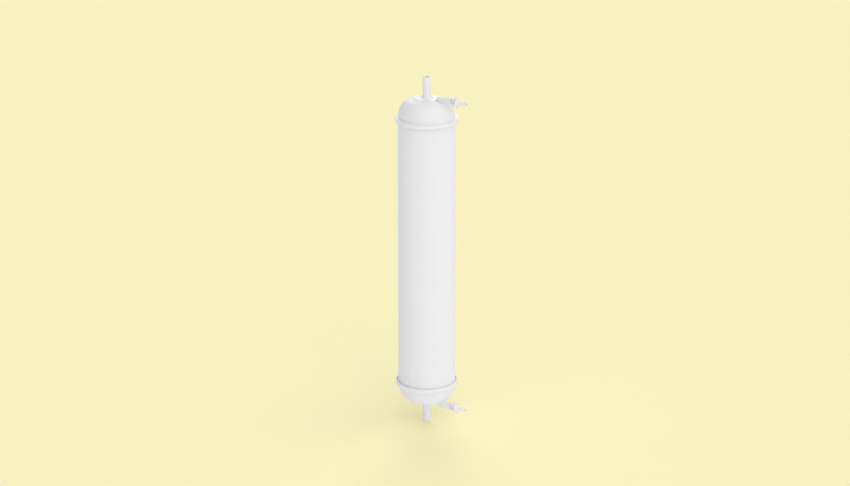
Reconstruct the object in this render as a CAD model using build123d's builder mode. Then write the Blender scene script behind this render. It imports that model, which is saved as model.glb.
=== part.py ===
from build123d import *
import os
from math import asin, atan2, cos, degrees, pi, radians, sin, sqrt

# A welded capsule filter, standing on its lower nozzle. Z runs along the capsule and X along the
# two valves. Millimetres. An end cap is drawn once, as the lower one, with heights measured from
# its nozzle tip. The upper cap and valve are the same, turned over about a level axis.

# Body
overall_length = 636.0
body_od = 100.0
body_wall = 4.0

# Nozzle with one barb, for a hose of 1/2 inch bore
nozzle_length = 37.3
nozzle_bore = 9.6
barb_tip_d = 13.2
barb_crest_d = 15.0
barb_shank_d = 13.5
barb_length = 10.7
barb_land = 1.4
barb_tip_chamfer = 0.5
nozzle_root_radius = 5.8

# Dome, with a flat round plate at its crown
plate_d = 42.6
plate_edge_height = 1.05
crown_radius = 98.0
knuckle_radius = 26.0
dome_inset = 1.4
dome_straight = 6.26
dome_flare = 0.5

# Flange and the skirt that hides the weld bead
flange_overhang = 5.0
flange_thickness = 2.6
skirt_length = 7.2
skirt_wall = 2.3
flange_edge_radius = 1.4
skirt_edge_radius = 1.8
weld_land_height = 0.7

# Outlet throat inside the lower cap, to which the cartridge is welded
throat_ledge = 1.2
throat_wall = 5.0
throat_height = 20.0

# Valve boss on the cap, a cone on a web
valve_axis_proud = 0.8
boss_overhang = 7.3
boss_length = 36.8
boss_root_r = 5.1
boss_mouth_r = 7.2
boss_mouth_radius = 0.5
web_end_inset = 9.5
web_thickness = 8.0
web_corner_radius = 2.5

# Stepped bore of the valve boss, from its mouth inwards. Its outer end is the collar.
collar_bore_r = 5.0
collar_bore_depth = 14.3
stem_bore_r = 3.4
stem_bore_depth = 13.0
seat_bore_r = 2.4
seat_bore_depth = 5.5
vent_hole_r = 1.5

# Cam of the valve: two lugs of its stem run in slanted windows of the collar. On the side that
# faces -Y, the windows' middle leans up by cam_lean from level.
cam_turn = 50.0
cam_travel = 3.1
cam_lean = 28.0
lug_r = 1.6
lug_clearance = 0.6
lug_sunk = 0.8
window_inset = 4.5

# Winged valve stem with a hose barb, for tube of 1/4 inch bore
stem_clearance = 0.2
neck_clearance = 0.15
seat_reach = 4.0
stem_shoulder_gap = 0.5
neck_shoulder_gap = 1.0
wing_gap = 1.5
wing_half_length = 13.0
wing_half_width = 8.2
wing_thickness = 3.2
wing_tip_radius = 1.3
wing_side_radius = 2.0
wing_edge_radius = 0.8
hub_r = 5.2
hub_length = 4.5
valve_barb_length = 14.0
valve_barb_shank_r = 3.15
valve_barb_crest_r = 3.75
valve_barb_tip_r = 2.9
valve_barb_nose = 5.2
valve_barb_land = 1.0
valve_port_r = 1.6
cross_hole_r = 1.0
cross_hole_inset = 1.6
vent_wing_tilt = 15.0
drain_wing_tilt = 10.0

# O-rings on the valve stem
ring_clearance = 0.05
seat_ring_section = 1.2
seat_ring_inset = 1.9
stem_ring_section = 1.1
stem_ring_inset = 5.4
groove_spare = 0.3

# Cartridge of two modules
head_room = 25.0
end_disc_thickness = 5.0
rim_height = 7.0
rim_wall = 1.9
lip_height = 5.0
lip_wall = 2.0
fit_gap = 0.1
fin_count = 4
fin_height = 6.0
fin_thickness = 3.0
fin_clearance = 0.3
fin_below_weld = 1.0

# Slotted guard outside the pleats and slotted core inside them
cage_annulus = 11.0
cage_wall = 1.8
cage_columns = 8
cage_rows = 6
core_od = 33.0
core_wall = 2.2
core_columns = 4
core_rows = 6
slot_rib = 6.0
slot_band = 12.0

# Pleated plies, from the clean side outwards: fleece, filter medium, fleece
pleat_count = 36
pleat_gap = 0.3
ply_gap = 0.04
fleece_thickness = 0.35
medium_thickness = 0.30
outer_fold_half_width = 0.95
inner_fold_half_width = 0.70

overcut = 1.0

# Derived sizes of the body and cap
body_r = body_od / 2
body_ir = body_r - body_wall
plate_r = plate_d / 2
dome_r = body_r - dome_inset
flange_r = body_r + flange_overhang
plate_edge_u = nozzle_length + plate_edge_height
crown_centre_u = plate_edge_u + sqrt(crown_radius**2 - plate_r**2)
crown_u = crown_centre_u - crown_radius
inner_crown_u = crown_u + body_wall
throat_top = inner_crown_u + throat_height
knuckle_centre_r = dome_r - knuckle_radius
knuckle_centre_u = crown_centre_u - sqrt((crown_radius - knuckle_radius) ** 2 - knuckle_centre_r**2)
flange_u = knuckle_centre_u + dome_straight
weld_u = flange_u + flange_thickness + weld_land_height
plate_angle = degrees(asin(plate_r / crown_radius))
tangent_angle = degrees(atan2(knuckle_centre_r, crown_centre_u - knuckle_centre_u))
tangent_r = crown_radius * sin(radians(tangent_angle))

# Derived places along the valve, measured from the capsule's axis
valve_u = nozzle_length - valve_axis_proud
valve_axis = Axis((0, 0, valve_u), (1, 0, 0))
turning_axis = Axis((0, 0, overall_length / 2), (1, 0, 0))
boss_mouth_x = body_r + boss_overhang
boss_nose_x = boss_mouth_x - boss_length
web_end_x = body_r - web_end_inset
stem_bore_x = boss_mouth_x - collar_bore_depth
seat_bore_x = stem_bore_x - stem_bore_depth
chamber_x = seat_bore_x - seat_bore_depth
seat_ring_x = seat_bore_x - seat_ring_inset
stem_ring_x = seat_bore_x + stem_ring_inset
stem_tip_x = seat_bore_x - seat_reach
wing_x = boss_mouth_x + wing_gap
hub_x = wing_x + wing_thickness
shank_x = hub_x + hub_length
valve_tip_x = shank_x + valve_barb_length

# Derived cam. Seen from the side, a window slants as the lug's path does, halfway up the lug.
window_x = boss_mouth_x - window_inset
lug_x = window_x - cam_travel / 2
lug_end_r = boss_mouth_r - lug_sunk
window_rise = (collar_bore_r + lug_end_r) * sin(radians(cam_turn / 2))
window_length = sqrt(cam_travel**2 + window_rise**2)
window_slant = degrees(atan2(window_rise, cam_travel))
window_width = 2 * (lug_r + lug_clearance)
window_plane = Plane(
    origin=(0, 0, valve_u),
    x_dir=(1, 0, 0),
    z_dir=(0, -cos(radians(cam_lean)), sin(radians(cam_lean))),
)

# Derived places of the cartridge, bottom to top
cartridge_top = overall_length - inner_crown_u - head_room
module_length = (cartridge_top - throat_top - 3 * end_disc_thickness) / 2
lower_module_z = throat_top + end_disc_thickness
joint_disc_z = lower_module_z + module_length
upper_module_z = joint_disc_z + end_disc_thickness
closed_disc_z = upper_module_z + module_length
fin_top = overall_length - weld_u - fin_below_weld
cage_r = body_ir - cage_annulus
core_r = core_od / 2
core_ir = core_r - core_wall
rim_ir = cage_r + fit_gap
end_disc_r = rim_ir + rim_wall
lip_r = core_ir - fit_gap
throat_ir = lip_r - lip_wall - throat_ledge
throat_r = throat_ir + throat_wall


def dome_height(radius):
    """Height of the dome's outer surface at a radius."""
    if radius < tangent_r:
        return crown_centre_u - sqrt(crown_radius**2 - radius**2)
    return knuckle_centre_u - sqrt(knuckle_radius**2 - (radius - knuckle_centre_r) ** 2)


def end_cap(has_throat):
    """One moulded end cap: nozzle, plate, dome, flange with its skirt, and valve boss."""
    with BuildPart() as cap:
        # Outside, as one turned form
        with BuildSketch(Plane.XZ) as outside:
            with BuildLine():
                Polyline(
                    (0, 0),
                    (barb_tip_d / 2 - barb_tip_chamfer, 0),
                    (barb_tip_d / 2, barb_tip_chamfer),
                    (barb_crest_d / 2, barb_length - barb_land),
                    (barb_crest_d / 2, barb_length),
                    (barb_shank_d / 2, barb_length),
                    (barb_shank_d / 2, nozzle_length - nozzle_root_radius),
                )
                root_centre = (
                    barb_shank_d / 2 + nozzle_root_radius,
                    nozzle_length - nozzle_root_radius,
                )
                root = CenterArc(root_centre, nozzle_root_radius, 180, -90)
                crown = CenterArc(
                    (0, crown_centre_u),
                    crown_radius,
                    plate_angle - 90,
                    tangent_angle - plate_angle,
                )
                Polyline(root @ 1, (plate_r, nozzle_length), crown @ 0)
                knuckle = CenterArc(
                    (knuckle_centre_r, knuckle_centre_u),
                    knuckle_radius,
                    tangent_angle - 90,
                    90 - tangent_angle,
                )
                Polyline(
                    knuckle @ 1,
                    (dome_r + dome_flare, flange_u),
                    (flange_r, flange_u),
                    (flange_r, flange_u + skirt_length),
                    (flange_r - skirt_wall, flange_u + skirt_length),
                    (flange_r - skirt_wall, flange_u + flange_thickness),
                    (body_r, flange_u + flange_thickness),
                    (body_r, weld_u),
                    (0, weld_u),
                    (0, 0),
                )
            make_face()
            rim_corners = outside.vertices().group_by(Axis.X)[-1].sort_by(Axis.Y)
            fillet(rim_corners[0], flange_edge_radius)
            rim_corners = outside.vertices().group_by(Axis.X)[-1].sort_by(Axis.Y)
            fillet(rim_corners[-1], skirt_edge_radius)
        revolve(axis=Axis.Z)

        # Valve boss, a cone with a round nose, on a web that runs into the dome
        mouth_corner = (boss_mouth_x, valve_u - boss_mouth_r)
        with BuildSketch(Plane.XZ) as boss:
            with BuildLine():
                nose = CenterArc((boss_nose_x + boss_root_r, valve_u), boss_root_r, 180, 90)
                Polyline(nose @ 1, mouth_corner, (boss_mouth_x, valve_u), nose @ 0)
            make_face()
            fillet(boss.vertices().sort_by_distance(mouth_corner)[0], boss_mouth_radius)
        revolve(axis=valve_axis)
        web_foot_u = dome_height(web_end_x) + body_wall / 2
        web_start_x = boss_nose_x + boss_root_r
        with BuildSketch(Plane.XY.offset(valve_u)) as web:
            with Locations(((web_start_x + web_end_x) / 2, 0)):
                Rectangle(web_end_x - web_start_x, web_thickness)
            fillet(web.vertices().group_by(Axis.X)[-1], web_corner_radius)
        extrude(amount=web_foot_u - valve_u)

        # Inside of the dome, parallel to its outside
        with BuildSketch(Plane.XZ):
            with BuildLine():
                inner_crown = CenterArc(
                    (0, crown_centre_u), crown_radius - body_wall, -90, tangent_angle
                )
                inner_knuckle = CenterArc(
                    (knuckle_centre_r, knuckle_centre_u),
                    knuckle_radius - body_wall,
                    tangent_angle - 90,
                    90 - tangent_angle,
                )
                Polyline(
                    inner_knuckle @ 1,
                    (body_ir, flange_u),
                    (body_ir, weld_u + overcut),
                    (0, weld_u + overcut),
                    inner_crown @ 0,
                )
            make_face()
        revolve(axis=Axis.Z, mode=Mode.SUBTRACT)

        # Outlet throat, standing on the inside of the crown
        if has_throat:
            with BuildSketch(Plane.XY.offset(inner_crown_u - body_wall / 2)):
                Circle(throat_r)
                Circle(throat_ir, mode=Mode.SUBTRACT)
            extrude(amount=throat_height + body_wall / 2)

        # Nozzle bore
        with BuildSketch(Plane.XY):
            Circle(nozzle_bore / 2)
        extrude(amount=inner_crown_u + overcut, mode=Mode.SUBTRACT)

        # Stepped valve bore, and the small hole that joins its end to the inside of the dome
        steps = (
            (collar_bore_r, stem_bore_x),
            (stem_bore_r, seat_bore_x),
            (seat_bore_r, chamber_x),
        )
        for radius, end_x in steps:
            with BuildSketch(Plane.YZ.offset(end_x)):
                with Locations((0, valve_u)):
                    Circle(radius)
            extrude(amount=boss_mouth_x - end_x + overcut, mode=Mode.SUBTRACT)
        with BuildSketch(Plane.XY.offset(valve_u)):
            with Locations((chamber_x + vent_hole_r, 0)):
                Circle(vent_hole_r)
        vent_end_u = dome_height(chamber_x + 2 * vent_hole_r) + 2 * body_wall
        extrude(amount=vent_end_u - valve_u, mode=Mode.SUBTRACT)

        # Windows in the collar, one on each side, slanted as a right-hand thread is
        for side in (1, -1):
            with BuildSketch(window_plane):
                with Locations((window_x, 0)):
                    SlotCenterToCenter(window_length, window_width, rotation=-side * window_slant)
            extrude(amount=side * (boss_mouth_r + overcut), mode=Mode.SUBTRACT)
    return cap.part


def valve_wing(tilt):
    """Four-cornered wing across the valve's axis, with rounded edges."""
    centre = Vector(0, valve_u)
    with BuildPart() as wing:
        with BuildSketch(Plane.YZ.offset(wing_x)) as outline:
            with Locations((0, valve_u)):
                Polygon(
                    (wing_half_width, 0),
                    (0, wing_half_length),
                    (-wing_half_width, 0),
                    (0, -wing_half_length),
                    rotation=tilt,
                )
            corners = outline.vertices().sort_by(lambda v: (Vector(v) - centre).length)
            fillet(corners[2:], wing_tip_radius)
            corners = outline.vertices().sort_by(lambda v: (Vector(v) - centre).length)
            fillet(corners[:2], wing_side_radius)
        extrude(amount=wing_thickness)
        levels = wing.edges().group_by(Axis.X)
        fillet(levels[0] + levels[-1], wing_edge_radius)
    return wing.part


def valve_knob(wing_tilt):
    """Valve stem: sealed tip, neck with two lugs, wing and hose barb, with a port inside."""
    stem_r = stem_bore_r - stem_clearance
    tip_r = seat_bore_r - stem_clearance
    neck_r = collar_bore_r - neck_clearance
    seat_groove_r = seat_bore_r - seat_ring_section - 2 * ring_clearance
    stem_groove_r = stem_bore_r - stem_ring_section - 2 * ring_clearance
    seat_groove_half = (seat_ring_section + groove_spare) / 2
    stem_groove_half = (stem_ring_section + groove_spare) / 2
    shoulder_x = seat_bore_x + stem_shoulder_gap
    neck_x = stem_bore_x + neck_shoulder_gap
    crest_x = valve_tip_x - valve_barb_nose - valve_barb_land
    outline = (
        (stem_tip_x, 0),
        (stem_tip_x, tip_r),
        (seat_ring_x - seat_groove_half, tip_r),
        (seat_ring_x - seat_groove_half, seat_groove_r),
        (seat_ring_x + seat_groove_half, seat_groove_r),
        (seat_ring_x + seat_groove_half, tip_r),
        (shoulder_x, tip_r),
        (shoulder_x, stem_r),
        (stem_ring_x - stem_groove_half, stem_r),
        (stem_ring_x - stem_groove_half, stem_groove_r),
        (stem_ring_x + stem_groove_half, stem_groove_r),
        (stem_ring_x + stem_groove_half, stem_r),
        (neck_x, stem_r),
        (neck_x, neck_r),
        (wing_x, neck_r),
        (wing_x, hub_r),
        (hub_x, hub_r),
        (shank_x, valve_barb_shank_r),
        (crest_x, valve_barb_shank_r),
        (crest_x, valve_barb_crest_r),
        (crest_x + valve_barb_land, valve_barb_crest_r),
        (valve_tip_x, valve_barb_tip_r),
        (valve_tip_x, 0),
    )
    with BuildPart() as knob:
        with BuildSketch(Plane.XZ):
            with BuildLine():
                Polyline([(x, valve_u + r) for x, r in outline], close=True)
            make_face()
        revolve(axis=valve_axis)
        add(valve_wing(wing_tilt))

        # Lugs on both sides of the neck, at the inner ends of their windows
        lug_rise = radians(cam_lean + cam_turn / 2)
        lug_plane = Plane(
            origin=(lug_x, 0, valve_u),
            x_dir=(1, 0, 0),
            z_dir=(0, -cos(lug_rise), sin(lug_rise)),
        )
        with BuildSketch(lug_plane):
            Circle(lug_r)
        extrude(amount=lug_end_r, both=True)

        # Port along the barb, and the cross hole that feeds it between the two O-rings
        port_end_x = shoulder_x + cross_hole_inset
        with BuildSketch(Plane.YZ.offset(port_end_x)):
            with Locations((0, valve_u)):
                Circle(valve_port_r)
        extrude(amount=valve_tip_x - port_end_x + overcut, mode=Mode.SUBTRACT)
        with BuildSketch(Plane.XZ):
            with Locations((port_end_x + cross_hole_r, valve_u)):
                Circle(cross_hole_r)
        extrude(amount=stem_bore_r, both=True, mode=Mode.SUBTRACT)
    return knob.part


def valve_ring(place_x, bore_r, section):
    """O-ring round the valve stem."""
    with BuildPart() as ring:
        with Locations((place_x, 0, valve_u)):
            Torus(bore_r - ring_clearance - section / 2, section / 2, rotation=(0, 90, 0))
    return ring.part


def turned_over(part):
    """The same piece at the other end of the capsule."""
    return part.rotate(turning_axis, 180)


def slotted_tube(base_z, outer_r, wall, columns, rows):
    """Moulded tube with rows of open windows, as long as one module."""
    window_height = (module_length - 2 * slot_band - (rows - 1) * slot_rib) / rows
    window_width = 2 * pi * (outer_r - wall) / columns - slot_rib
    with BuildPart() as tube:
        with BuildSketch(Plane.XY.offset(base_z)):
            Circle(outer_r)
            Circle(outer_r - wall, mode=Mode.SUBTRACT)
        extrude(amount=module_length)
        for row in range(rows):
            row_z = base_z + slot_band + row * (window_height + slot_rib)
            with BuildSketch(Plane.XY.offset(row_z)):
                with PolarLocations(outer_r, columns):
                    Rectangle(4 * wall, window_width)
            extrude(amount=window_height, mode=Mode.SUBTRACT)
    return tube.part


stack_thickness = 2 * fleece_thickness + medium_thickness + 2 * ply_gap
pleat_outer_r = cage_r - cage_wall - pleat_gap - stack_thickness / 2
pleat_inner_r = core_r + pleat_gap + stack_thickness / 2


def pleat_outline(shift):
    """Corners of the pleated line, moved outwards by shift from the middle of the stack."""
    corners = []
    for step in range(2 * pleat_count):
        angle = pi * step / pleat_count
        outer = step % 2 == 0
        radius = (pleat_outer_r if outer else pleat_inner_r) + shift
        half = outer_fold_half_width + shift if outer else inner_fold_half_width - shift
        for side in (-half, half):
            corners.append(
                (radius * cos(angle) - side * sin(angle), radius * sin(angle) + side * cos(angle))
            )
    return corners


def pleated_ply(base_z, inner_shift, thickness):
    """One ply of the pleated pack, a folded sheet as long as one module."""
    with BuildPart() as ply:
        with BuildSketch(Plane.XY.offset(base_z)):
            with BuildLine():
                Polyline(pleat_outline(inner_shift + thickness), close=True)
            make_face()
            with BuildLine():
                Polyline(pleat_outline(inner_shift), close=True)
            make_face(mode=Mode.SUBTRACT)
        extrude(amount=module_length)
    return ply.part


# Body tube, welded to both caps
with BuildPart() as body_tube:
    with BuildSketch(Plane.XY.offset(weld_u)):
        Circle(body_r)
        Circle(body_ir, mode=Mode.SUBTRACT)
    extrude(amount=overall_length - 2 * weld_u)

# Open end cap of the cartridge, welded to the throat
with BuildPart() as cartridge_open_cap:
    with BuildSketch(Plane.XZ):
        with BuildLine():
            Polyline(
                (throat_ir, throat_top),
                (end_disc_r, throat_top),
                (end_disc_r, lower_module_z + rim_height),
                (rim_ir, lower_module_z + rim_height),
                (rim_ir, lower_module_z),
                (lip_r, lower_module_z),
                (lip_r, lower_module_z + lip_height),
                (lip_r - lip_wall, lower_module_z + lip_height),
                (lip_r - lip_wall, lower_module_z),
                (throat_ir, lower_module_z),
                close=True,
            )
        make_face()
    revolve(axis=Axis.Z)

# Ring between the two modules
with BuildPart() as cartridge_joint_ring:
    with BuildSketch(Plane.XZ):
        with BuildLine():
            Polyline(
                (lip_r - lip_wall, joint_disc_z - lip_height),
                (lip_r, joint_disc_z - lip_height),
                (lip_r, joint_disc_z),
                (rim_ir, joint_disc_z),
                (rim_ir, joint_disc_z - rim_height),
                (end_disc_r, joint_disc_z - rim_height),
                (end_disc_r, upper_module_z + rim_height),
                (rim_ir, upper_module_z + rim_height),
                (rim_ir, upper_module_z),
                (lip_r, upper_module_z),
                (lip_r, upper_module_z + lip_height),
                (lip_r - lip_wall, upper_module_z + lip_height),
                close=True,
            )
        make_face()
    revolve(axis=Axis.Z)

# Closed end cap of the cartridge, with fins that centre it in the body
with BuildPart() as cartridge_closed_cap:
    fin_bottom = fin_top - fin_height
    with BuildSketch(Plane.XZ):
        with BuildLine():
            Polyline(
                (0, closed_disc_z - lip_height),
                (lip_r, closed_disc_z - lip_height),
                (lip_r, closed_disc_z),
                (rim_ir, closed_disc_z),
                (rim_ir, fin_bottom),
                (end_disc_r, fin_bottom),
                (end_disc_r, cartridge_top),
                (0, cartridge_top),
                close=True,
            )
        make_face()
    revolve(axis=Axis.Z)
    fin_start_r = (rim_ir + end_disc_r) / 2
    fin_end_r = body_ir - fin_clearance
    with BuildSketch(Plane.XY.offset(fin_bottom)):
        with PolarLocations((fin_start_r + fin_end_r) / 2, fin_count):
            Rectangle(fin_end_r - fin_start_r, fin_thickness)
    extrude(amount=fin_height)

inlet_cap = end_cap(has_throat=False)
outlet_cap = end_cap(has_throat=True)
seat_ring = valve_ring(seat_ring_x, seat_bore_r, seat_ring_section)
stem_ring = valve_ring(stem_ring_x, stem_bore_r, stem_ring_section)
medium_shift = -medium_thickness / 2
inner_fleece_shift = medium_shift - ply_gap - fleece_thickness
outer_fleece_shift = medium_thickness / 2 + ply_gap

pieces = {
    "body_tube": body_tube.part,
    "upper_end_cap": turned_over(inlet_cap),
    "lower_end_cap": outlet_cap,
    "vent_valve_knob": turned_over(valve_knob(vent_wing_tilt)),
    "vent_valve_seat_ring": turned_over(seat_ring),
    "vent_valve_stem_ring": turned_over(stem_ring),
    "drain_valve_knob": valve_knob(drain_wing_tilt),
    "drain_valve_seat_ring": seat_ring,
    "drain_valve_stem_ring": stem_ring,
    "cartridge_open_cap": cartridge_open_cap.part,
    "cartridge_joint_ring": cartridge_joint_ring.part,
    "cartridge_closed_cap": cartridge_closed_cap.part,
}
for level, base_z in (("lower", lower_module_z), ("upper", upper_module_z)):
    pieces[level + "_outer_cage"] = slotted_tube(
        base_z, cage_r, cage_wall, cage_columns, cage_rows
    )
    pieces[level + "_core"] = slotted_tube(base_z, core_r, core_wall, core_columns, core_rows)
    pieces[level + "_outer_fleece"] = pleated_ply(base_z, outer_fleece_shift, fleece_thickness)
    pieces[level + "_filter_medium"] = pleated_ply(base_z, medium_shift, medium_thickness)
    pieces[level + "_inner_fleece"] = pleated_ply(base_z, inner_fleece_shift, fleece_thickness)

os.makedirs("parts", exist_ok=True)
for name, part in pieces.items():
    part.label = name
    export_step(part, "parts/" + name + ".step")
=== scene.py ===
"""Finishes a capsule filter: plastics, fleeces and seals, with its floor, lights and camera."""

import math

import bmesh
import bpy
from bpy.props import FloatProperty, FloatVectorProperty, IntProperty, PointerProperty
from mathutils import Matrix, Vector


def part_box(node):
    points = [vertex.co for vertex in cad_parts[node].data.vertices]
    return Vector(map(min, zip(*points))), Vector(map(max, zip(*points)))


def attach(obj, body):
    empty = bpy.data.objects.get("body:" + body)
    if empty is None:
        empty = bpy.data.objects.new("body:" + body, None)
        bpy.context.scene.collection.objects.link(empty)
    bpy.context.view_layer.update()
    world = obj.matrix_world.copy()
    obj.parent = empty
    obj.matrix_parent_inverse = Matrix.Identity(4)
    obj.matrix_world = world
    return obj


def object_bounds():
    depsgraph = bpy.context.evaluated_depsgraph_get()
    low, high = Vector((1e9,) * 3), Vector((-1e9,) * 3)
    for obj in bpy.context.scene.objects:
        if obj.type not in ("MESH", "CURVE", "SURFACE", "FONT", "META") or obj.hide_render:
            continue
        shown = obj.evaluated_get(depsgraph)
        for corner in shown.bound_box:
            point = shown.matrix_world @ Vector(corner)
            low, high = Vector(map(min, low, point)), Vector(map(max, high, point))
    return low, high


bl_info = {
    "name": "Capsule Filter Finish",
    "version": (1, 0, 0),
    "blender": (4, 5, 0),
    "location": "3D View > Sidebar > Capsule Filter",
    "description": "Finishes a white plastic capsule filter and sets a plain studio round it",
    "category": "Object",
}

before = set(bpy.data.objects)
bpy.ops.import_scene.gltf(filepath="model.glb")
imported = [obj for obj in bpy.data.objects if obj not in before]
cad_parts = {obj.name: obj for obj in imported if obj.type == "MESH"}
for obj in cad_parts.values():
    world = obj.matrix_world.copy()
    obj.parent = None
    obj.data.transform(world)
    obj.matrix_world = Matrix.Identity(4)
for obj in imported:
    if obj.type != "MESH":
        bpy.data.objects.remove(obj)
cad_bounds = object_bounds()

# Pieces by what they are made of
CAP_NODES = ("upper_end_cap", "lower_end_cap")
VALVE_NODES = ("vent_valve_knob", "drain_valve_knob")
SEAL_NODES = tuple(
    end + "_valve_" + place + "_ring" for end in ("vent", "drain") for place in ("seat", "stem")
)
CARTRIDGE_NODES = ("cartridge_open_cap", "cartridge_joint_ring", "cartridge_closed_cap") + tuple(
    level + part for level in ("lower", "upper") for part in ("_outer_cage", "_core")
)
FLEECE_NODES = tuple(
    level + part for level in ("lower", "upper") for part in ("_outer_fleece", "_inner_fleece")
)
MEDIUM_NODES = ("lower_filter_medium", "upper_filter_medium")

# Plastics: how far the roughness clouds each way, how much the colour darkens, and their relief
MOULDED_SWING = 0.06
MOULDED_TINT = 0.02
TUBE_SWING = 0.04
TUBE_TINT = 0.015
TUBE_PEEL_STRETCH = 2.5
DRAW_LINE_STRETCH = 100.0
WAVE_HEIGHT_IN_PEELS = 3.0

# Fibres: their number to a metre, the turns of their three lays, the painted shade in the low
# places between them, and the roughness they cloud over
FLEECE_FIBRES = 2500.0
MEDIUM_FIBRES = 9000.0
FIBRE_LAYS = tuple(math.radians(turn) for turn in (0.0, 60.0, 120.0))
FIBRE_SQUEEZE = 0.06
FIBRE_GAP_SHADE = 0.12
FIBRE_ROUGHNESS = (0.8, 0.95)
FIBRE_RELIEF = 0.00005
FIBRE_SHEEN = 0.2

# Seals: their skin is far finer than the plastics', and their dust shows in the colour
SEAL_PEEL_SCALE = 5000.0
SEAL_WAVE_SCALE = 700.0
SEAL_TINT = 0.4
SEAL_ROUGHNESS = 0.52
SEAL_SWING = 0.1
SEAL_RELIEF = 0.000005

MERGE_DISTANCE = 0.00001
LAMPS = ("key", "fill", "top", "back")
CLIP_IN_FLOOR_HALVES = 4


class FinishSettings(bpy.types.PropertyGroup):
    """Colours, gloss and grain of the filter's materials."""

    plastic_colour: FloatVectorProperty(
        name="Plastic",
        description="Colour of the white polypropylene",
        subtype="COLOR",
        default=(0.84, 0.84, 0.835),
    )
    cartridge_colour: FloatVectorProperty(
        name="Cartridge",
        description="Colour of the cartridge's moulded parts",
        subtype="COLOR",
        default=(0.78, 0.78, 0.77),
    )
    fleece_colour: FloatVectorProperty(
        name="Fleece",
        description="Colour of the pleated fleeces",
        subtype="COLOR",
        default=(0.8, 0.8, 0.78),
    )
    seal_colour: FloatVectorProperty(
        name="Seal",
        description="Colour of the O-rings",
        subtype="COLOR",
        default=(0.025, 0.025, 0.027),
    )
    tube_roughness: FloatProperty(
        name="Tube Roughness",
        description="Middle roughness of the extruded tube",
        default=0.52,
    )
    cap_roughness: FloatProperty(
        name="Cap Roughness",
        description="Middle roughness of the end caps",
        default=0.5,
    )
    valve_roughness: FloatProperty(
        name="Valve Roughness",
        description="Middle roughness of the winged valve stems",
        default=0.46,
    )
    cartridge_roughness: FloatProperty(
        name="Cartridge Roughness",
        description="Middle roughness of the cartridge's moulded parts",
        default=0.55,
    )
    flash_roughness: FloatProperty(
        name="Flash Roughness",
        description="Middle roughness of the weld flash",
        default=0.42,
    )
    peel_size: FloatProperty(
        name="Peel Size",
        description="Size of the moulded skin's fine ripple",
        subtype="DISTANCE",
        default=0.0016,
    )
    peel_height: FloatProperty(
        name="Peel Height",
        description="Height of the moulded skin's fine ripple",
        subtype="DISTANCE",
        default=0.000006,
    )
    draw_line_size: FloatProperty(
        name="Draw Line Size",
        description="Spacing of the faint lines that run along the extruded tube",
        subtype="DISTANCE",
        default=0.0022,
    )


class FlashSettings(bpy.types.PropertyGroup):
    """Weld flash, the bead of two rolls that a fusion weld squeezes out round the tube."""

    cap_roll: FloatProperty(
        name="Cap Roll",
        description="Radius of the section of the roll on the cap's side of the weld",
        subtype="DISTANCE",
        default=0.0007,
    )
    tube_roll: FloatProperty(
        name="Tube Roll",
        description="Radius of the section of the roll on the tube's side of the weld",
        subtype="DISTANCE",
        default=0.0014,
    )
    roll_step: FloatProperty(
        name="Roll Step",
        description="Distance along the capsule from the cap's roll to the tube's",
        subtype="DISTANCE",
        default=0.0018,
    )
    proud: FloatProperty(
        name="Proud",
        description="How far the middle of each roll's section stands out from the tube's face",
        subtype="DISTANCE",
        default=0.0006,
    )
    roll_sides: IntProperty(
        name="Roll Sides",
        description="Faces round a roll's section",
        default=14,
    )
    ring_steps: IntProperty(
        name="Ring Steps",
        description="Faces round the tube",
        default=144,
    )


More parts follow.
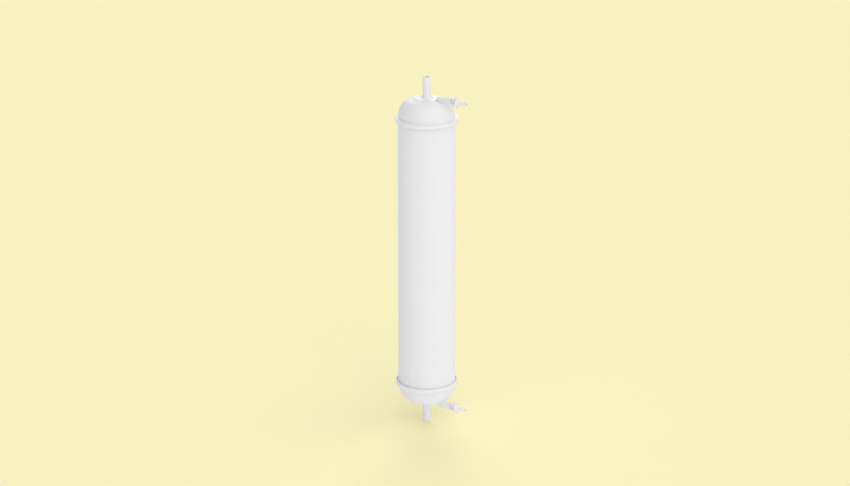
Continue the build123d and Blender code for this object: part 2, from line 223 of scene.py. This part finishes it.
class StudioSettings(bpy.types.PropertyGroup):
    """Camera, lights and floor."""

    camera_turn: FloatProperty(
        name="Camera Turn",
        description="How far the camera stands round from the front, towards the valves",
        subtype="ANGLE",
        default=math.radians(32.0),
    )
    camera_height: FloatProperty(
        name="Camera Height",
        description="The camera's angle above the horizon",
        subtype="ANGLE",
        default=math.radians(19.5),
    )
    camera_distance: FloatProperty(
        name="Camera Distance",
        description="Distance from the camera to the point that it looks at",
        subtype="DISTANCE",
        default=5.029,
    )
    aim_height: FloatProperty(
        name="Aim Height",
        description="Height of that point on the filter's axis",
        subtype="DISTANCE",
        default=0.3343,
    )
    focal_length: FloatProperty(
        name="Focal Length",
        description="Focal length of the lens in millimetres",
        default=122.06,
    )
    frame_shift: FloatProperty(
        name="Frame Shift",
        description="Sideways shift of the lens, in widths of the picture",
        default=-0.002055,
    )
    floor_half: FloatProperty(
        name="Floor Half Width",
        description="Half the width of the floor",
        subtype="DISTANCE",
        default=40.0,
    )
    floor_colour: FloatVectorProperty(
        name="Floor",
        description="Pale colour of the floor as the camera sees it",
        subtype="COLOR",
        default=(1.0, 0.93, 0.56),
    )
    floor_bounce: FloatProperty(
        name="Floor Bounce",
        description="How much neutral light the floor gives back to the filter",
        default=1.0,
    )
    sky_strength: FloatProperty(
        name="Sky",
        description="Level of the even light from all round",
        default=0.391,
    )
    key_strength: FloatProperty(
        name="Key Light",
        description="Level of the soft light from the right",
        default=0.359,
    )
    key_turn: FloatProperty(
        name="Key Turn",
        description="How far the key light stands round to the right of the camera",
        subtype="ANGLE",
        default=math.radians(62.0),
    )
    key_height: FloatProperty(
        name="Key Height",
        description="The key light's angle above the horizon",
        subtype="ANGLE",
        default=math.radians(38.0),
    )
    key_spread: FloatProperty(
        name="Key Spread",
        description="How wide the key light looks from the filter",
        subtype="ANGLE",
        default=1.8,
    )
    fill_strength: FloatProperty(
        name="Fill Light",
        description="Level of the soft light from the camera's side",
        default=0.267,
    )
    fill_turn: FloatProperty(
        name="Fill Turn",
        description="How far the fill light stands round to the right of the camera",
        subtype="ANGLE",
        default=math.radians(-8.0),
    )
    fill_height: FloatProperty(
        name="Fill Height",
        description="The fill light's angle above the horizon",
        subtype="ANGLE",
        default=math.radians(15.0),
    )
    fill_spread: FloatProperty(
        name="Fill Spread",
        description="How wide the fill light looks from the filter",
        subtype="ANGLE",
        default=1.5,
    )
    top_strength: FloatProperty(
        name="Top Light",
        description="Level of the soft light from above",
        default=0.119,
    )
    top_turn: FloatProperty(
        name="Top Turn",
        description="How far the top light leans round to the right of the camera",
        subtype="ANGLE",
        default=0.0,
    )
    top_height: FloatProperty(
        name="Top Height",
        description="The top light's angle above the horizon",
        subtype="ANGLE",
        default=math.radians(88.0),
    )
    top_spread: FloatProperty(
        name="Top Spread",
        description="How wide the top light looks from the filter",
        subtype="ANGLE",
        default=1.0,
    )
    back_strength: FloatProperty(
        name="Back Light",
        description="Level of the soft light from behind, on the domes and flange tops",
        default=0.311,
    )
    back_turn: FloatProperty(
        name="Back Turn",
        description="How far the back light stands round to the right of the camera",
        subtype="ANGLE",
        default=math.radians(180.0),
    )
    back_height: FloatProperty(
        name="Back Height",
        description="The back light's angle above the horizon",
        subtype="ANGLE",
        default=math.radians(25.0),
    )
    back_spread: FloatProperty(
        name="Back Spread",
        description="How wide the back light looks from the filter",
        subtype="ANGLE",
        default=0.8,
    )


def value_noise(tree, place, size, detail, rough):
    """Noise texture whose blobs are about size across, on the given coordinates."""
    noise = tree.nodes.new("ShaderNodeTexNoise")
    noise.inputs["Scale"].default_value = 1.0 / size
    noise.inputs["Detail"].default_value = detail
    noise.inputs["Roughness"].default_value = rough
    tree.links.new(place, noise.inputs["Vector"])
    return noise.outputs["Fac"]


def remap(tree, value, low, high):
    """A value from 0 to 1 moved to the span from low to high."""
    node = tree.nodes.new("ShaderNodeMapRange")
    node.inputs["To Min"].default_value = low
    node.inputs["To Max"].default_value = high
    tree.links.new(value, node.inputs["Value"])
    return node.outputs["Result"]


def math_node(tree, operation, first, second):
    """Maths on two sockets, or on a socket and a number."""
    node = tree.nodes.new("ShaderNodeMath")
    node.operation = operation
    for socket, source in zip(node.inputs, (first, second)):
        if isinstance(source, (int, float)):
            socket.default_value = source
        else:
            tree.links.new(source, socket)
    return node.outputs["Value"]


def mapped(tree, place, scale, rotation=(0.0, 0.0, 0.0)):
    """Coordinates multiplied by a scale on each axis, and turned."""
    node = tree.nodes.new("ShaderNodeMapping")
    node.inputs["Scale"].default_value = scale
    node.inputs["Rotation"].default_value = rotation
    tree.links.new(place, node.inputs["Vector"])
    return node.outputs["Vector"]


def new_group(name, inputs, outputs):
    """Shader node group with float inputs and outputs, and one vector input for the place."""
    group = bpy.data.node_groups.new(name, "ShaderNodeTree")
    group.interface.new_socket("Place", in_out="INPUT", socket_type="NodeSocketVector")
    for title, value in inputs:
        socket = group.interface.new_socket(title, in_out="INPUT", socket_type="NodeSocketFloat")
        socket.default_value = value
    for title in outputs:
        group.interface.new_socket(title, in_out="OUTPUT", socket_type="NodeSocketFloat")
    return group, group.nodes.new("NodeGroupInput"), group.nodes.new("NodeGroupOutput")


def scaled_noise(group, place, scale, detail):
    """Noise texture in a group, whose scale comes from a socket."""
    noise = group.nodes.new("ShaderNodeTexNoise")
    noise.inputs["Detail"].default_value = detail
    group.links.new(place, noise.inputs["Vector"])
    group.links.new(scale, noise.inputs["Scale"])
    return noise.outputs["Fac"]


def moulded_skin_group():
    """Skin of a plastic or rubber: fine peel, slow waves and a clouding of its gloss."""
    group, given, result = new_group(
        "Moulded Skin",
        inputs=(("Peel Scale", 600.0), ("Wave Scale", 30.0)),
        outputs=("Height", "Cloud"),
    )
    place = given.outputs["Place"]
    peel = scaled_noise(group, place, given.outputs["Peel Scale"], detail=2.0)
    wave = scaled_noise(group, place, given.outputs["Wave Scale"], detail=1.0)
    cloud = scaled_noise(group, place, given.outputs["Wave Scale"], detail=4.0)
    slow = math_node(group, "MULTIPLY", wave, WAVE_HEIGHT_IN_PEELS)
    height = math_node(group, "ADD", peel, slow)
    group.links.new(height, result.inputs["Height"])
    group.links.new(cloud, result.inputs["Cloud"])
    return group


def fibre_mat_group():
    """Random lay of fibres, as in spunbonded fleece and melt-blown medium."""
    group, given, result = new_group(
        "Fibre Mat", inputs=(("Fibre Scale", 3000.0),), outputs=("Height", "Cloud")
    )
    place = given.outputs["Place"]
    fibre_scale = given.outputs["Fibre Scale"]
    strands = []
    for turn in FIBRE_LAYS:
        lay = mapped(group, place, (1.0, 1.0, FIBRE_SQUEEZE), (turn, 0.0, turn))
        strands.append(scaled_noise(group, lay, fibre_scale, detail=1.0))
    pair = math_node(group, "MAXIMUM", strands[0], strands[1])
    height = math_node(group, "MAXIMUM", pair, strands[2])
    cloud = scaled_noise(group, place, fibre_scale, detail=3.0)
    group.links.new(height, result.inputs["Height"])
    group.links.new(cloud, result.inputs["Cloud"])
    return group


def base_material(name):
    """New material. Returns it with its tree, its Principled shader and Object coordinates."""
    material = bpy.data.materials.new(name)
    material.use_nodes = True
    tree = material.node_tree
    shader = tree.nodes["Principled BSDF"]
    coordinates = tree.nodes.new("ShaderNodeTexCoord")
    return material, tree, shader, coordinates.outputs["Object"]


def use_group(tree, group, place, values):
    """A group node placed in a material with its own values."""
    node = tree.nodes.new("ShaderNodeGroup")
    node.node_tree = group
    tree.links.new(place, node.inputs["Place"])
    for title, value in values.items():
        node.inputs[title].default_value = value
    return node


def tint(tree, colour, mask, depth):
    """The colour, darkened by up to depth where the mask is low."""
    mix = tree.nodes.new("ShaderNodeMix")
    mix.data_type = "RGBA"
    darker = [channel * (1.0 - depth) for channel in colour]
    mix.inputs["A"].default_value = (*darker, 1.0)
    mix.inputs["B"].default_value = (*colour, 1.0)
    tree.links.new(mask, mix.inputs["Factor"])
    return mix.outputs["Result"]


def relief(tree, height, distance):
    """Bump that stands distance metres proud where the height is 1."""
    bump = tree.nodes.new("ShaderNodeBump")
    bump.inputs["Distance"].default_value = distance
    tree.links.new(height, bump.inputs["Height"])
    return bump.outputs["Normal"]


def finish_shader(tree, shader, colour, roughness, normal):
    """Links a surface's colour, roughness and normal to its shader."""
    tree.links.new(colour, shader.inputs["Base Color"])
    tree.links.new(roughness, shader.inputs["Roughness"])
    tree.links.new(normal, shader.inputs["Normal"])


def moulded_plastic(name, colour, skin, settings, roughness):
    """White moulded polypropylene with a satin skin."""
    material, tree, shader, place = base_material(name)
    node = use_group(tree, skin, place, {"Peel Scale": 1.0 / settings.peel_size})
    cloud = node.outputs["Cloud"]
    finish_shader(
        tree,
        shader,
        tint(tree, colour, cloud, MOULDED_TINT),
        remap(tree, cloud, roughness + MOULDED_SWING, roughness - MOULDED_SWING),
        relief(tree, node.outputs["Height"], settings.peel_height),
    )
    return material


def extruded_plastic(name, colour, skin, settings):
    """Extruded tube: the same plastic with a wider peel, and faint lines along its length."""
    material, tree, shader, place = base_material(name)
    peel_scale = 1.0 / (TUBE_PEEL_STRETCH * settings.peel_size)
    node = use_group(tree, skin, place, {"Peel Scale": peel_scale})
    along = mapped(tree, place, (1.0, 1.0, 1.0 / DRAW_LINE_STRETCH))
    lines = value_noise(tree, along, settings.draw_line_size, detail=3.0, rough=0.6)
    height = math_node(tree, "ADD", node.outputs["Height"], lines)
    roughness = settings.tube_roughness
    finish_shader(
        tree,
        shader,
        tint(tree, colour, node.outputs["Cloud"], TUBE_TINT),
        remap(tree, lines, roughness + TUBE_SWING, roughness - TUBE_SWING),
        relief(tree, height, settings.peel_height),
    )
    return material


def fibre_cloth(name, colour, mat, fibre_scale):
    """Felted plastic fibre, matt and slightly fuzzy, with painted shade darkening the low places
    between its fibres.
    """
    material, tree, shader, place = base_material(name)
    node = use_group(tree, mat, place, {"Fibre Scale": fibre_scale})
    height = node.outputs["Height"]
    # painted shade: the colour darkens where the fibre relief is low, in the hollows between the
    # fibres
    finish_shader(
        tree,
        shader,
        tint(tree, colour, height, FIBRE_GAP_SHADE),
        remap(tree, node.outputs["Cloud"], *FIBRE_ROUGHNESS),
        relief(tree, height, FIBRE_RELIEF),
    )
    shader.inputs["Sheen Weight"].default_value = FIBRE_SHEEN
    return material


def seal_rubber(name, colour, skin):
    """Black EPDM of the O-rings, satin with a dusting of talc."""
    material, tree, shader, place = base_material(name)
    scales = {"Peel Scale": SEAL_PEEL_SCALE, "Wave Scale": SEAL_WAVE_SCALE}
    node = use_group(tree, skin, place, scales)
    cloud = node.outputs["Cloud"]
    finish_shader(
        tree,
        shader,
        tint(tree, colour, cloud, SEAL_TINT),
        remap(tree, cloud, SEAL_ROUGHNESS + SEAL_SWING, SEAL_ROUGHNESS - SEAL_SWING),
        relief(tree, node.outputs["Height"], SEAL_RELIEF),
    )
    return material


def dress(node_names, material):
    """Gives CAD nodes a material, in the slots that they already have."""
    for name in node_names:
        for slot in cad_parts[name].material_slots:
            slot.material = material


class FILTER_OT_finish_nodes(bpy.types.Operator):
    """Give every piece its plastic, fleece, medium or rubber"""

    bl_idname = "filter.finish_nodes"
    bl_label = "Finish Pieces"

    def execute(self, context):
        settings = context.scene.filter_finish
        skin = moulded_skin_group()
        mat = fibre_mat_group()
        white = tuple(settings.plastic_colour)
        inner = tuple(settings.cartridge_colour)
        fleece = tuple(settings.fleece_colour)
        black = tuple(settings.seal_colour)
        dress(("body_tube",), extruded_plastic("Extruded Tube", white, skin, settings))
        for nodes, name, colour, roughness in (
            (CAP_NODES, "Moulded Cap", white, settings.cap_roughness),
            (VALVE_NODES, "Moulded Valve", white, settings.valve_roughness),
            (CARTRIDGE_NODES, "Moulded Cartridge", inner, settings.cartridge_roughness),
        ):
            dress(nodes, moulded_plastic(name, colour, skin, settings, roughness))
        dress(FLEECE_NODES, fibre_cloth("Spunbonded Fleece", fleece, mat, FLEECE_FIBRES))
        dress(MEDIUM_NODES, fibre_cloth("Filter Medium", fleece, mat, MEDIUM_FIBRES))
        dress(SEAL_NODES, seal_rubber("Seal Rubber", black, skin))
        return {"FINISHED"}


def new_object(name, data):
    """Object at the origin, linked to the scene."""
    item = bpy.data.objects.new(name, data)
    bpy.context.scene.collection.objects.link(item)
    return item


def mesh_object(name, bm):
    """Object with the mesh of a bmesh, which is freed."""
    mesh = bpy.data.meshes.new(name)
    bm.to_mesh(mesh)
    bm.free()
    return new_object(name, mesh)


def flash_bead(name, weld_z, tube_side, settings):
    """The two rolls of one weld, spun round the tube, which is above the weld if tube_side is 1."""
    tube_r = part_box("body_tube")[1].x
    bm = bmesh.new()
    rolls = ((settings.cap_roll, 0.0), (settings.tube_roll, tube_side * settings.roll_step))
    for radius, step in rolls:
        centre = Matrix.Translation((tube_r + settings.proud, 0.0, weld_z + step))
        upright = centre @ Matrix.Rotation(math.radians(90.0), 4, "X")
        ring = bmesh.ops.create_circle(
            bm, segments=settings.roll_sides, radius=radius, matrix=upright
        )["verts"]
        edges = list({edge for vert in ring for edge in vert.link_edges})
        bmesh.ops.spin(
            bm,
            geom=ring + edges,
            cent=(0.0, 0.0, 0.0),
            axis=(0.0, 0.0, 1.0),
            angle=2 * math.pi,
            steps=settings.ring_steps,
            use_merge=True,
        )
    bmesh.ops.remove_doubles(bm, verts=bm.verts, dist=MERGE_DISTANCE)
    bmesh.ops.recalc_face_normals(bm, faces=bm.faces)
    for face in bm.faces:
        face.smooth = True
    return mesh_object(name, bm)


class FILTER_OT_weld_flash(bpy.types.Operator):
    """Add the flash that each weld squeezes out into the trap under its skirt"""

    bl_idname = "filter.weld_flash"
    bl_label = "Add Weld Flash"

    def execute(self, context):
        finish = context.scene.filter_finish
        white = tuple(finish.plastic_colour)
        skin = bpy.data.node_groups["Moulded Skin"]
        plastic = moulded_plastic("Weld Flash", white, skin, finish, finish.flash_roughness)
        low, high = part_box("body_tube")
        for name, weld_z, tube_side in (
            ("lower_weld_flash", low.z, 1),
            ("upper_weld_flash", high.z, -1),
        ):
            bead = flash_bead(name, weld_z, tube_side, context.scene.filter_flash)
            bead.data.materials.append(plastic)
            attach(bead, "housing")
        return {"FINISHED"}


def floor_material(settings):
    """Pale to the camera, and neutral in the light that it gives back."""
    material = bpy.data.materials.new("Pale Floor")
    material.use_nodes = True
    tree = material.node_tree
    shader = tree.nodes["Principled BSDF"]
    shader.inputs["Roughness"].default_value = 1.0
    shader.inputs["Specular IOR Level"].default_value = 0.0
    mix = tree.nodes.new("ShaderNodeMix")
    mix.data_type = "RGBA"
    bounce = settings.floor_bounce
    mix.inputs["A"].default_value = (bounce, bounce, bounce, 1.0)
    mix.inputs["B"].default_value = (*settings.floor_colour, 1.0)
    path = tree.nodes.new("ShaderNodeLightPath")
    tree.links.new(path.outputs["Is Camera Ray"], mix.inputs["Factor"])
    tree.links.new(mix.outputs["Result"], shader.inputs["Base Color"])
    return material


def add_floor(settings):
    """Wide floor under the filter's lower nozzle."""
    bm = bmesh.new()
    foot = Matrix.Translation((0.0, 0.0, cad_bounds[0].z))
    bmesh.ops.create_grid(
        bm, x_segments=1, y_segments=1, size=settings.floor_half, matrix=foot
    )
    floor = mesh_object("floor", bm)
    floor.data.materials.append(floor_material(settings))


def add_sky(settings):
    """World that lights the filter evenly from all round."""
    world = bpy.data.worlds.new("Studio")
    world.use_nodes = True
    sky = world.node_tree.nodes["Background"]
    sky.inputs["Color"].default_value = (1.0, 1.0, 1.0, 1.0)
    sky.inputs["Strength"].default_value = settings.sky_strength
    bpy.context.scene.world = world


def direction(turn, height):
    """Unit vector from the filter, turned round from the front and raised above the horizon."""
    level = math.cos(height)
    return Vector((math.sin(turn) * level, -math.cos(turn) * level, math.sin(height)))


def add_sun(name, towards, strength, spread):
    """Soft distant light. A white face square to it comes out as bright as its strength."""
    light = bpy.data.lights.new(name, "SUN")
    light.energy = strength * math.pi
    light.angle = spread
    lamp = new_object(name, light)
    lamp.rotation_euler = towards.to_track_quat("Z", "Y").to_euler()


def add_camera(settings):
    """Camera that looks at the filter's axis from the photograph's angle."""
    camera = bpy.data.cameras.new("camera")
    camera.lens = settings.focal_length
    camera.clip_end = CLIP_IN_FLOOR_HALVES * settings.floor_half
    camera.shift_x = settings.frame_shift
    holder = new_object("camera", camera)
    back = direction(settings.camera_turn, settings.camera_height)
    aim = Vector((0.0, 0.0, settings.aim_height))
    holder.location = aim + back * settings.camera_distance
    holder.rotation_euler = back.to_track_quat("Z", "Y").to_euler()
    bpy.context.scene.camera = holder


class FILTER_OT_studio(bpy.types.Operator):
    """Build the floor, the lights and the camera"""

    bl_idname = "filter.studio"
    bl_label = "Build Studio"

    def execute(self, context):
        settings = context.scene.filter_studio
        add_floor(settings)
        add_sky(settings)
        for name in LAMPS:
            turn = settings.camera_turn + getattr(settings, name + "_turn")
            towards = direction(turn, getattr(settings, name + "_height"))
            strength = getattr(settings, name + "_strength")
            add_sun(name, towards, strength, getattr(settings, name + "_spread"))
        add_camera(settings)
        context.scene.view_settings.view_transform = "Standard"
        return {"FINISHED"}


class FILTER_PT_panel(bpy.types.Panel):
    """Lists the steps that dress the filter, and their settings."""

    bl_idname = "FILTER_PT_panel"
    bl_label = "Capsule Filter"
    bl_space_type = "VIEW_3D"
    bl_region_type = "UI"
    bl_category = "Capsule Filter"

    def draw(self, context):
        layout = self.layout
        for step in STEPS:
            layout.operator(step.bl_idname)
        scene = context.scene
        for settings in (scene.filter_finish, scene.filter_flash, scene.filter_studio):
            for title in settings.__annotations__:
                layout.prop(settings, title)


STEPS = (FILTER_OT_finish_nodes, FILTER_OT_weld_flash, FILTER_OT_studio)
CLASSES = (FinishSettings, FlashSettings, StudioSettings, *STEPS, FILTER_PT_panel)


def register():
    for item in CLASSES:
        bpy.utils.register_class(item)
    bpy.types.Scene.filter_finish = PointerProperty(type=FinishSettings)
    bpy.types.Scene.filter_flash = PointerProperty(type=FlashSettings)
    bpy.types.Scene.filter_studio = PointerProperty(type=StudioSettings)


def unregister():
    del bpy.types.Scene.filter_studio
    del bpy.types.Scene.filter_flash
    del bpy.types.Scene.filter_finish
    for item in reversed(CLASSES):
        bpy.utils.unregister_class(item)


def main():
    register()
    bpy.ops.filter.finish_nodes()
    bpy.ops.filter.weld_flash()
    bpy.ops.filter.studio()


if __name__ == "__main__":
    main()
